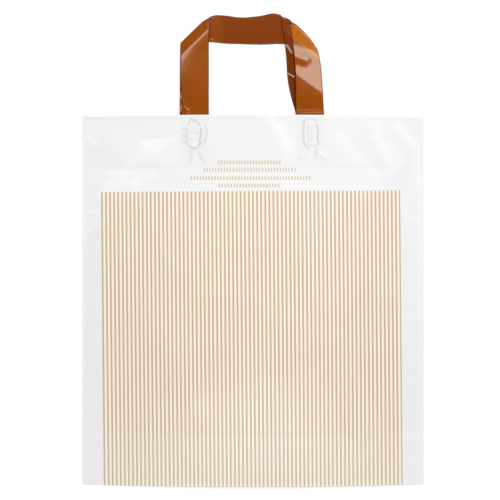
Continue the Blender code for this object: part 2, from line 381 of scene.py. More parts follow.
@dataclass(frozen=True)
class DashRows:
    """Four centred rows of short plain upright dashes, between the mouth and the stripes.

    Attributes:
        rows: The left end, the right end and the height of each row.
        pitch: From dash to dash.
        half_width: Half a dash's width.
        half_height: Half its height.
        softness: Half the width over which its edges fade, as a part of half its width.
        ink: The dashes' colour.
    """

    rows: tuple[tuple[float, float, float], ...] = (
        (-0.0348, 0.0273, 0.0899),
        (-0.0500, 0.0427, 0.0822),
        (-0.0629, 0.0579, 0.0738),
        (-0.0342, 0.0262, 0.0662),
    )
    pitch: float = 0.0030
    half_width: float = 0.00065
    half_height: float = 0.00190
    softness: float = 0.5
    ink: Color = (0.66, 0.53, 0.33, 1.0)

    def over(self, tree: NodeTree, ground: Signal, x: Signal, y: Signal) -> Signal:
        """Prints the dashes over a ground colour.

        A dash is where the nearest place on the pitch is closer than half its width, and the row closer than
        half its height.

        Args:
            tree: The material.
            ground: The colour under the dashes.
            x: The coordinate across the bag.
            y: The coordinate along it.

        Returns:
            The printed colour.
        """
        fade = self.half_width * self.softness
        all_rows = None
        for left, right, height in self.rows:
            count = round((right - left) / self.pitch)
            pitch = (right - left) / count
            aside = tree.maths("PINGPONG", (x - left) / pitch, 0.5) * pitch
            dash = tree.rising(aside, self.half_width + fade, self.half_width - fade)
            level = tree.rising(abs(y - height), self.half_height + fade, self.half_height - fade)
            ends = tree.maths("LESS_THAN", abs(x - (left + right) / 2), (right - left + pitch) / 2)
            row = dash * level * ends
            all_rows = row if all_rows is None else tree.maths("MAXIMUM", all_rows, row)
        return tree.mixed(all_rows, ground, self.ink)


@dataclass(frozen=True)
class FilmFinish:
    """Milky white film with a soft gloss, paler where the pleat lies behind its print, with painted highlights
    on its fine creases and painted shade over the hem.

    Attributes:
        single: The colour of one layer.
        shaded_hem: The colour over the hem, a little darker than one layer: painted shade on the top band.
        pressed: The colour on the lines of the welds.
        white: The colour of the painted highlight on creased film.
        highlight_share: How far the fine creases' painted highlight turns the bare film to it.
        print_share: How far that painted highlight, and the pleat behind the print, turn the print to it.
        hem_edge: The height of the hem's free edge.
        pleat_edge: The height of the pleat's fold.
        edge_softness: Half the width over which the colour changes at both.
        cloud: The noise that its tone and its roughness follow.
        cloud_share: How far that noise moves its tone between one layer and the hem.
        wrinkles: The noises of its fine and of its broad wrinkles.
        fine_share: The height of the fine ones for each metre of the broad ones.
        wrinkle_depth: How deep the broad ones are.
        roughness: The film's roughness where it is smooth, and where it is dull.
        gloss: How strongly it reflects.
        stripes: The block of stripes.
        dashes: The rows of dashes.
    """

    single: Color = (0.852, 0.852, 0.853, 1.0)
    shaded_hem: Color = (0.834, 0.834, 0.835, 1.0)
    pressed: Color = (0.600, 0.590, 0.586, 1.0)
    white: Color = (1.0, 1.0, 1.0, 1.0)
    highlight_share: float = 0.27
    print_share: float = 0.05
    hem_edge: float = 0.0855
    pleat_edge: float = -0.18725
    edge_softness: float = 0.0004
    cloud: Grain = Grain(18.0, 3.0)
    cloud_share: float = 0.2
    wrinkles: tuple[Grain, Grain] = (Grain(160.0, 4.0, 0.6, (1.0, 0.35)), Grain(26.0, drawn=(0.6, 1.0)))
    fine_share: float = 0.25
    wrinkle_depth: float = 0.0004
    roughness: tuple[float, float] = (0.24, 0.38)
    gloss: float = 0.38
    stripes: StripePrint = StripePrint()
    dashes: DashRows = DashRows()

    def make(self) -> bpy.types.Material:
        """Builds the material.

        Returns:
            The film's material, which reads Object coordinates.
        """
        tree = NodeTree("milky_film")
        x, y, z = tree.axes("Object")
        cloud = self.cloud.over(tree, x, y, z)
        soft = self.edge_softness
        hem = tree.rising(y, self.hem_edge - soft, self.hem_edge + soft)
        pleat = tree.rising(y, self.pleat_edge + soft, self.pleat_edge - soft)
        # Painted highlight: the fine creases lighten the film and its print.
        crease_highlight = tree.attribute("crease_highlight")
        # Painted shade: the film over the hem is a little darker than one layer.
        ground = tree.mixed(hem + (cloud - 0.5) * self.cloud_share, self.single, self.shaded_hem)
        ground = tree.mixed(tree.attribute("pressed"), ground, self.pressed)
        ground = tree.mixed(crease_highlight * self.highlight_share, ground, self.white)
        printed = self.stripes.over(tree, self.dashes.over(tree, ground, x, y), x, y)
        # The pleat behind the print pales it, and the creases' painted highlight lightens it.
        pleat_and_highlight = tree.maths("MAXIMUM", pleat, crease_highlight) * self.print_share
        fine, broad = (grain.over(tree, x, y, z) for grain in self.wrinkles)
        inputs = {
            "Base Color": tree.mixed(pleat_and_highlight, printed, self.white),
            "Roughness": between(self.roughness[0], self.roughness[1], cloud),
            "Normal": tree.bump(fine * self.fine_share + broad, self.wrinkle_depth),
            "Specular IOR Level": self.gloss,
        }
        tree.feed(tree.shader, inputs)
        return tree.material


@dataclass(frozen=True)
class RibbonFinish:
    """Glossy brown ribbon with fine streaks along it, darker edges and painted shade on its crossbar.

    Attributes:
        name: The material's name.
        brown: Its colour.
        deep: Its colour in the streaks.
        crossbar_shade: Its colour along the crossbar: painted shade.
        crossbar_shade_reach: Where that painted shade starts and ends, in ribbon widths from the tail.
        crossbar_shade_softness: The length over which it fades at both ends, in ribbon widths.
        past: Its colour past its second fold.
        past_reach: Where that part starts and ends along the ribbon's middle line, in ribbon widths.
        past_slant: How far it runs back along the ribbon for each width across.
        past_softness: The length over which it fades at both ends.
        edge: Its colour along both edges.
        edge_share: The part of its width that each edge takes up.
        gloss: How strongly it reflects.
        reflection: The tint of what it reflects.
        roughness: Its roughness where it is brightest, and in the streaks.
        streaks: The noise of the streaks along it.
        streak_depth: How deep they are.
        cloud: The noise of its softer changes.
        streak_share: How much of its tone is streaks, with the rest cloud.
        tone_reach: Where that sum of noises starts and ends to turn it deep.
    """

    name: str = "brown_ribbon"
    brown: Color = (0.308, 0.069, 0.0014, 1.0)
    deep: Color = (0.269, 0.056, 0.0010, 1.0)
    crossbar_shade: Color = (0.212, 0.038, 0.0006, 1.0)
    crossbar_shade_reach: Point = (4.9, 8.6)
    crossbar_shade_softness: float = 0.3
    past: Color = (0.460, 0.120, 0.005, 1.0)
    past_reach: Point = (8.70, 9.17)
    past_slant: float = 0.82
    past_softness: float = 0.1
    edge: Color = (0.170, 0.028, 0.001, 1.0)
    edge_share: float = 0.022
    gloss: float = 0.38
    reflection: Color = (1.0, 0.95, 0.78, 1.0)
    roughness: tuple[float, float] = (0.15, 0.22)
    streaks: Grain = Grain(34.0, 4.0, 0.6, (1.0, 0.02))
    streak_depth: float = 0.000006
    cloud: Grain = Grain(2.5)
    streak_share: float = 0.7
    tone_reach: Point = (0.36, 0.64)

    def make(self) -> bpy.types.Material:
        """Builds the material.

        Returns:
            The ribbon's material, which reads its UV map: across the ribbon and along it, in ribbon widths.
        """
        tree = NodeTree(self.name)
        across, along, _ = tree.axes("UV")
        streaks, cloud = (grain.over(tree, across, along, 0.0) for grain in (self.streaks, self.cloud))
        tone = tree.rising(between(cloud, streaks, self.streak_share), *self.tone_reach)
        from_middle = abs(across - 0.5)
        edge = tree.rising(from_middle, 0.5 - self.edge_share, 0.5 - self.edge_share / 4)
        start, end = self.crossbar_shade_reach
        soft = self.crossbar_shade_softness
        # Painted shade: the crossbar is darker than the legs.
        crossbar_shade = tree.rising(along, start, start + soft) * tree.rising(along, end, end - soft)
        plain = tree.mixed(crossbar_shade, tree.mixed(tone, self.brown, self.deep), self.crossbar_shade)
        level = along + (across - 0.5) * self.past_slant
        start, end = self.past_reach
        soft = self.past_softness
        past = tree.rising(level, start - soft, start) * tree.rising(level, end + soft, end)
        plain = tree.mixed(past, plain, self.past)
        color = tree.mixed(edge, plain, self.edge)
        roughness = between(self.roughness[0], self.roughness[1], streaks)
        normal = tree.bump(streaks, self.streak_depth)
        tree.feed(tree.shader, {"Base Color": color, "Roughness": roughness, "Normal": normal})
        tree.feed(tree.shader, {"Specular IOR Level": self.gloss, "Specular Tint": self.reflection})
        return tree.material


# The back handle's ribbon: the same brown ribbon painted darker all over as shade, with painted shadow on its
# right leg past the second fold, which lies under the front one.
SHADED_INNER_RIBBON = RibbonFinish(
    name="shaded_inner_ribbon",
    brown=(0.258, 0.060, 0.0028, 1.0),
    deep=(0.238, 0.052, 0.0022, 1.0),
    crossbar_shade_reach=(5.5, 8.6),
    past=(0.165, 0.028, 0.0010, 1.0),
    past_reach=(8.75, 14.0),
)


@dataclass(frozen=True)
class FloorFinish:
    """Matt near-white floor that keeps the bag's shadow and shows white to the camera.

    Attributes:
        white: The floor's own colour.
        lift: The light that it adds for the camera near the bag, so that it shows white where fully lit.
        near: Out to this distance from the bag's middle it shows its own light and shade.
        far: From this distance on it is plain white to the camera.
    """

    white: Color = (0.38, 0.38, 0.38, 1.0)
    lift: float = 0.70
    near: float = 0.45
    far: float = 1.3

    def make(self) -> bpy.types.Material:
        """Builds the material.

        Returns:
            The floor's material.
        """
        tree = NodeTree("pale_floor")
        tree.feed(tree.shader, {"Base Color": self.white, "Roughness": 1.0, "Specular IOR Level": 0.0})
        x, y, _ = tree.axes("Object")
        distance = tree.maths("SQRT", x * x + y * y)
        away = tree.rising(distance, self.near, self.far)
        glow = tree.out(tree.node("ShaderNodeEmission", {}, {"Strength": self.lift}))
        lifted = tree.out(tree.node("ShaderNodeAddShader", {}, {0: tree.out(tree.shader), 1: glow}))
        plain = tree.out(tree.node("ShaderNodeEmission", {}, {"Strength": 1.0}))
        shown = tree.out(tree.node("ShaderNodeMixShader", {}, {0: away, 1: lifted, 2: plain}))
        path = tree.node("ShaderNodeLightPath")
        seen = tree.maths("MAXIMUM", tree.out(path, "Is Camera Ray"), tree.out(path, "Is Transmission Ray"))
        surface = tree.node("ShaderNodeMixShader", {}, {0: seen, 1: tree.out(tree.shader), 2: shown})
        tree.feed(tree.output, {"Surface": tree.out(surface)})
        return tree.material


@dataclass(frozen=True)
class Crease:
    """A soft ridge of the front panel along a straight line.

    Attributes:
        start: One end.
        end: The other end.
        height: How high it stands, or below 0 how deep it lies.
        reach: Half its width.
    """

    start: Point
    end: Point
    height: float
    reach: float

    def rise(self, x: Array, y: Array) -> Array:
        """The height times e to minus the squares of the distances off the line and past its ends, over reach.

        Args:
            x: Places across the bag.
            y: Places along it.

        Returns:
            The ridge's height at each place.
        """
        run_x, run_y = self.end[0] - self.start[0], self.end[1] - self.start[1]
        length = math.hypot(run_x, run_y)
        along = ((x - self.start[0]) * run_x + (y - self.start[1]) * run_y) / length
        across = ((x - self.start[0]) * run_y - (y - self.start[1]) * run_x) / length
        past_end = np.maximum(np.maximum(-along, along - length), 0.0)
        return self.height * np.exp(-((across / self.reach) ** 2) - (past_end / self.reach) ** 2)


@dataclass(frozen=True)
class PressedLine:
    """A narrow raised line in the film over a weld.

    Attributes:
        points: The line's corners.
        shade: How much it darkens the film, where 1 is the most.
        height: How high it stands.
        reach: Half its width.
    """

    points: tuple[Point, ...]
    shade: float = 1.0
    height: float = 0.00018
    reach: float = 0.0009

    def share(self, x: Array, y: Array) -> Array:
        """e to minus the square of the distance to the line, over the reach.

        Args:
            x: Places across the bag.
            y: Places along it.

        Returns:
            1 on the line, and less further away.
        """
        nearest = np.full(x.shape, np.inf)
        for (ax, ay), (bx, by) in zip(self.points, self.points[1:]):
            run_x, run_y = bx - ax, by - ay
            part = np.clip(((x - ax) * run_x + (y - ay) * run_y) / (run_x**2 + run_y**2), 0.0, 1.0)
            nearest = np.minimum(nearest, np.hypot(x - ax - part * run_x, y - ay - part * run_y))
        return np.exp(-((nearest / self.reach) ** 2))


BROAD_CREASES = (
    Crease((-0.157, 0.029), (-0.121, 0.059), 0.0007, 0.009),
    Crease((-0.150, 0.108), (-0.084, 0.084), 0.0006, 0.014),
    Crease((0.011, 0.136), (0.029, 0.098), 0.0006, 0.012),
    Crease((0.124, 0.122), (0.146, 0.082), 0.0008, 0.012),
    Crease((0.031, 0.062), (0.080, -0.060), 0.0010, 0.016),
    Crease((0.080, -0.060), (0.135, -0.174), 0.0010, 0.016),
    Crease((0.108, 0.050), (0.110, -0.040), 0.0009, 0.012),
    Crease((-0.110, -0.060), (-0.060, -0.150), 0.0008, 0.016),
)

FINE_CREASES = (
    Crease((-0.1715, 0.1180), (-0.1615, 0.1095), 0.00020, 0.0040),
    Crease((-0.1720, 0.1310), (-0.1660, 0.1260), 0.00010, 0.0030),
    Crease((-0.1720, 0.0980), (-0.1680, 0.0970), 0.00012, 0.0020),
    Crease((-0.1141, 0.1095), (-0.0820, 0.1120), 0.00018, 0.0035),
    Crease((-0.1110, 0.1060), (-0.0900, 0.1060), 0.00012, 0.0040),
    Crease((-0.0980, 0.1030), (-0.1290, 0.0880), 0.00012, 0.0070),
    Crease((-0.1490, 0.0790), (-0.1000, 0.0775), 0.00018, 0.0035),
    Crease((-0.1330, 0.0765), (-0.1560, 0.0560), 0.00018, 0.0060),
    Crease((-0.1010, 0.0770), (-0.1190, 0.0690), 0.00014, 0.0040),
    Crease((-0.1190, 0.0690), (-0.1450, 0.0640), 0.00014, 0.0045),
    Crease((-0.1570, 0.0290), (-0.1210, 0.0590), 0.00014, 0.0040),
    Crease((-0.1680, 0.0410), (-0.1580, 0.0380), 0.00018, 0.0020),
    Crease((-0.1734, 0.0278), (-0.1642, 0.0319), 0.00020, 0.0018),
    Crease((-0.1740, 0.0182), (-0.1570, 0.0278), 0.00020, 0.0018),
    Crease((-0.1724, -0.0470), (-0.1714, -0.0480), 0.00018, 0.0020),
    Crease((0.0160, 0.1340), (0.0270, 0.1220), 0.00014, 0.0045),
    Crease((0.0270, 0.1220), (0.0335, 0.1080), 0.00014, 0.0045),
    Crease((0.0335, 0.1080), (0.0345, 0.0940), 0.00010, 0.0050),
    Crease((0.0610, 0.1020), (0.0590, 0.0960), 0.00018, 0.0014),
    Crease((0.0680, 0.1010), (0.0735, 0.0950), 0.00018, 0.0016),
    Crease((-0.0610, 0.1180), (-0.0590, 0.1080), 0.00012, 0.0025),
    Crease((-0.0595, 0.1000), (-0.0590, 0.0930), 0.00014, 0.0018),
    Crease((0.0872, 0.1158), (0.1257, 0.0748), 0.00012, 0.0060),
    Crease((0.1257, 0.1158), (0.1436, 0.0825), 0.00018, 0.0045),
    Crease((0.1385, 0.1056), (0.1508, 0.0902), 0.00012, 0.0050),
    Crease((0.1500, 0.1260), (0.1667, 0.1056), 0.00018, 0.0050),
    Crease((0.1667, 0.1056), (0.1715, 0.0722), 0.00016, 0.0045),
    Crease((0.1715, 0.0722), (0.1712, -0.1300), 0.00012, 0.0030),
    Crease((0.1590, 0.0330), (0.1690, 0.0300), 0.00014, 0.0030),
    Crease((0.1535, -0.0700), (0.1590, -0.0690), 0.00014, 0.0018),
    Crease((-0.1720, -0.1892), (-0.1565, -0.1892), 0.00012, 0.0012),
    Crease((0.1530, -0.1892), (0.1720, -0.1892), 0.00012, 0.0012),
    Crease((0.0670, 0.0620), (0.0680, -0.0700), 0.00012, 0.0045),
    Crease((0.1080, 0.0410), (0.1090, -0.0300), 0.00012, 0.0045),
)

WELD_LINES = (
    PressedLine(((-0.0674, 0.1256), (-0.0678, 0.1180), (-0.0669, 0.1092), (-0.0636, 0.1056)), 0.6),
    PressedLine(((-0.0636, 0.1056), (-0.0597, 0.1043), (-0.0560, 0.1053), (-0.0540, 0.1092)), 0.9),
    PressedLine(
        ((-0.0540, 0.1092), (-0.0546, 0.1128), (-0.0528, 0.1165), (-0.0536, 0.1205), (-0.0531, 0.1250)), 0.95
    ),
    PressedLine(((-0.0665, 0.1290), (-0.0635, 0.1340), (-0.0590, 0.1333), (-0.0540, 0.1282)), 0.7),
    PressedLine(((-0.0487, 0.1278), (-0.0470, 0.1225), (-0.0487, 0.1125), (-0.0517, 0.1097)), 0.6),
    PressedLine(((-0.0630, 0.1206), (-0.0590, 0.1210), (-0.0560, 0.1195)), 0.6),
    PressedLine(((-0.0640, 0.1141), (-0.0610, 0.1128), (-0.0575, 0.1146)), 0.5),
    PressedLine(((-0.0628, 0.1015), (-0.0640, 0.0900)), 0.45, 0.00015, 0.0011),
    PressedLine(((-0.0575, 0.1015), (-0.0500, 0.0905)), 0.45, 0.00015, 0.0011),
    PressedLine(((-0.0712, 0.1265), (-0.0695, 0.1240)), 0.4, 0.00025, 0.0012),
    PressedLine(((-0.0712, 0.1185), (-0.0695, 0.1165)), 0.4, 0.00025, 0.0012),
    PressedLine(((-0.0712, 0.1140), (-0.0695, 0.1115)), 0.4, 0.00025, 0.0012),
    PressedLine(
        ((0.0520, 0.1317), (0.0515, 0.1215), (0.0519, 0.1115), (0.0540, 0.1064), (0.0569, 0.1036)), 0.75
    ),
    PressedLine(((0.0569, 0.1290), (0.0560, 0.1245), (0.0569, 0.1185), (0.0562, 0.1125)), 0.45),
    PressedLine(((0.0600, 0.1270), (0.0602, 0.1130)), 0.3),
    PressedLine(((0.0658, 0.1291), (0.0666, 0.1200), (0.0660, 0.1150), (0.0670, 0.1092)), 0.85),
    PressedLine(((0.0525, 0.1328), (0.0560, 0.1352), (0.0610, 0.1349), (0.0655, 0.1325)), 0.5),
    PressedLine(((0.0560, 0.1092), (0.0600, 0.1072), (0.0660, 0.1080)), 0.4),
    PressedLine(((0.0466, 0.0960), (0.0480, 0.0930)), 0.4, 0.00015, 0.0012),
    PressedLine(((0.0641, 0.1030), (0.0645, 0.0965)), 0.45, 0.00015, 0.0012),
    PressedLine(((0.0700, 0.0960), (0.0712, 0.0925)), 0.4, 0.00015, 0.0012),
    PressedLine(((-0.1720, 0.1352), (-0.0800, 0.1356), (0.0, 0.1362)), 0.15, 0.00008, 0.0009),
    PressedLine(((0.0, 0.1362), (0.0900, 0.1356), (0.1720, 0.1352)), 0.08, 0.00008, 0.0009),
)


@dataclass(frozen=True)
class FilmShape:
    """How the bag's film lies: its layers from the back panel up to the front one.

    Attributes:
        width: Across the bag.
        height: From the bottom fold to the mouth.
        bottom: The height of the bottom fold along Y.
        thickness: The film's thickness.
        hem_depth: How far the hems are turned in.
        pleat_depth: How far the bottom is pleated in.
        seal_width: The fused strip down each side.
        pressed_step: From layer to layer beside a seal.
        fold_step: From layer to layer at a fold, away from the seals.
        room_share: How many such steps there is always room for between the panels.
        settling: The width of the strip beside a seal in which the layers come together.
        loft: The rise of the front panel over the back one, at its highest.
        bottom_share: The part of that rise that is left at the bottom fold.
        mouth_share: The part of it that is left at the mouth.
        bottom_length: The length over which the panel rises from the bottom fold.
        mouth_length: The length over which it falls towards the mouth.
        mouth_drawn_in: How far the mouth's corners are drawn in, as a share of half the height.
        bottom_drawn_in: How far the bottom corners are.
        tail_length: How far the ribbons' tails reach below the mouth.
        tails: The middle of each tail of the front handle at the mouth, and its lean.
        tail_width: The ribbons' width.
        tail_relief: How far the tails press the film up.
        tail_shade: How much the brown tails darken the film over them.
        tail_blur: Half the width over which that fades at their edges.
        highlight_height: The height at which a fine crease's painted highlight is full.
        step_relief: How far the hem's edge and the pleat's fold press it up.
        step_softness: The length over which they and the tails do.
    """

    width: float = 0.350
    height: float = 0.381
    bottom: float = -0.24225
    thickness: float = 0.00007
    hem_depth: float = 0.054
    pleat_depth: float = 0.055
    seal_width: float = 0.0025
    pressed_step: float = 0.00010
    fold_step: float = 0.00087
    room_share: float = 3.2
    settling: float = 0.012
    loft: float = 0.0135
    bottom_share: float = 0.22
    mouth_share: float = 0.74
    bottom_length: float = 0.150
    mouth_length: float = 0.170
    mouth_drawn_in: float = 0.006
    bottom_drawn_in: float = 0.0125
    tail_length: float = 0.048
    tails: tuple[tuple[float, float], ...] = ((-0.0597, 0.0), (0.0581, math.radians(-3.2)))
    tail_width: float = 0.029
    tail_relief: float = 0.00012
    tail_shade: float = 0.10
    tail_blur: float = 0.0025
    highlight_height: float = 0.00020
    step_relief: float = 0.00022
    step_softness: float = 0.0015

    @property
    def mouth(self) -> float:
        """The height of the mouth's fold along Y."""
        return self.bottom + self.height

    @property
    def middle(self) -> float:
        """Halfway between the bottom fold and the mouth."""
        return self.bottom + self.height / 2

    @property
    def panel_edge(self) -> float:
        """Where the panels meet the seals."""
        return self.width / 2 - self.seal_width

    @property
    def seal_stack(self) -> float:
        """From the middle of the lowest of the four layers beside a seal to the middle of the highest."""
        return 3 * self.pressed_step

    def arch(self, x: Array) -> Array:
        """The front panel's arch: 1 less the square of the share of the way out to a seal."""
        return 1 - np.minimum(np.abs(x) / self.panel_edge, 1.0) ** 2

    def settled(self, x: Array) -> Array:
        """0 beside the seals, where the layers are pressed together, and 1 further in."""
        return eased((self.panel_edge - np.abs(x)) / self.settling)

    def layer_step(self, x: Array) -> Array:
        """From the middle of a layer to that of the one that it turns into, where all four have room."""
        room = self.seal_stack + self.loft * self.bottom_share * self.arch(x)
        return np.minimum(self.fold_step, room / self.room_share)

    def back(self, x: Array, y: Array) -> Array:
        """The back panel lies flat on the floor, and lifts a little into the seals."""
        return self.thickness / 2 + self.pressed_step * (1 - self.settled(x)) + 0 * y

    def front(self, x: Array, y: Array) -> Array:
        """The front panel's height.

        It is the low arch, lower towards the bottom and the mouth, with all its creases on it.

        Args:
            x: Places across the bag.
            y: Places along it.

        Returns:
            The height of the layer's middle at each place.
        """
        rise = between(self.bottom_share, 1.0, eased((y - self.bottom) / self.bottom_length))
        fall = between(self.mouth_share, 1.0, eased((self.mouth - y) / self.mouth_length))
        creases = sum(crease.rise(x, y) for crease in BROAD_CREASES + FINE_CREASES)
        panel = self.seal_stack + self.loft * self.arch(x) * rise * fall
        return self.back(x, y) + panel + self.settled(x) * creases

    def over_tails(self, x: Array, y: Array, soft: float) -> Array:
        """Where the ribbons' tails lie behind the film: 1 over them and 0 away from them.

        Args:
            x: Places across the bag.
            y: Places along it.
            soft: Half the width over which it changes at a tail's edges.

        Returns:
            The share at each place.
        """
        below = self.mouth - y
        end = eased((self.tail_length - below) / (2 * soft))
        share = np.zeros_like(x + y)
        for tail_x, lean in self.tails:
            off_middle = np.abs(x - tail_x + below * math.tan(lean))
            share = share + eased((self.tail_width / 2 + soft - off_middle) / (2 * soft)) * end
        return share

    def pressed(self, x: Array, y: Array) -> Array:
        """How dark the film is: 1 on the lines of the welds, and a little over the brown tails behind it."""
        lines = sum(line.shade * line.share(x, y) for line in WELD_LINES)
        return lines + self.tail_shade * self.over_tails(x, y, self.tail_blur)

    def crease_highlight(self, x: Array, y: Array) -> Array:
        """How strong the painted highlight along the film's fine creases is: their height over the height at
        which it is full.
        """
        creases = sum(crease.rise(x, y) for crease in FINE_CREASES)
        return np.minimum(creases / self.highlight_height, 1.0)

    def relief(self, x: Array, y: Array) -> Array:
        """What the tails, the welds, the hem's edge and the pleat's fold press up into the front panel.

        Args:
            x: Places across the bag.
            y: Places along it.

        Returns:
            The height of the relief at each place.
        """
        soft = self.step_softness
        below = self.mouth - y
        hem = eased((self.hem_depth - below) / soft)
        pleat = eased((self.bottom + self.pleat_depth - y) / soft)
        pressed = self.step_relief * (hem + pleat) + self.tail_relief * self.over_tails(x, y, soft)
        lines = sum(line.height * line.share(x, y) for line in WELD_LINES)
        return self.settled(x) * (pressed + lines)

    def front_panel(self, x: Array, y: Array) -> Array:
        """The front panel with its relief."""
        return self.front(x, y) + self.relief(x, y)

    def front_hem(self, x: Array, y: Array) -> Array:
        """The hem inside the front panel."""
        return self.front(x, y) - self.layer_step(x)

    def back_hem(self, x: Array, y: Array) -> Array:
        """The hem inside the back panel."""
        return self.back(x, y) + self.layer_step(x)

    def front_leaf(self, x: Array, y: Array) -> Array:
        """The pleat's front leaf, from the front panel at the bottom fold to the middle at its own fold."""
        middle = (self.back(x, y) + self.front(x, y)) / 2
        share = eased((y - self.bottom) / self.pleat_depth)
        return between(self.front_hem(x, y), middle + self.layer_step(x) / 2, share)

    def back_leaf(self, x: Array, y: Array) -> Array:
        """The pleat's back leaf, from the back panel up to the pleat's own fold."""
        middle = (self.back(x, y) + self.front(x, y)) / 2
        share = eased((y - self.bottom) / self.pleat_depth)
        return between(self.back_hem(x, y), middle - self.layer_step(x) / 2, share)

    def drawn(self, points: Array) -> Array:
        """Draws the film in at the seals: y moves to the middle by the square of the share of the way out.

        Args:
            points: Places with three coordinates each, in the last axis.

        Returns:
            The same places, moved.
        """
        moved = points.copy()
        out = np.minimum(np.abs(points[..., 0]) / (self.width / 2), 1.0)
        above = points[..., 1] - self.middle
        moved[..., 1] -= above * np.where(above > 0, self.mouth_drawn_in, self.bottom_drawn_in) * out**2
        return moved


@dataclass(frozen=True)
class Run:
    """A stretch of the film between two folds.

    Attributes:
        height: How high it lies at each place.
        stations: Its places along Y, from start to end, before the folds at its ends take their share.
        folded_start: Whether it starts at a fold.
        folded_end: Whether it ends at one.
    """

    height: Callable[[Array, Array], Array]
    stations: Array
    folded_start: bool = True
    folded_end: bool = True

    def rows(self, x: Array, turn: Array) -> tuple[Array, Array]:
        """The stretch's own rows, cut short by half a layer step at each fold.

        Args:
            x: The columns' places across the bag.
            turn: Half the layer step at each of them.

        Returns:
            The places along Y and the heights, both as rows and columns.
        """
        start, end = self.stations[0], self.stations[-1]
        way = math.copysign(1.0, end - start)
        first = start + way * turn * self.folded_start
        last = end - way * turn * self.folded_end
        share = (self.stations - start) / (end - start)
        y = between(first[None, :], last[None, :], share[:, None])
        return y, self.height(np.broadcast_to(x, y.shape), y)


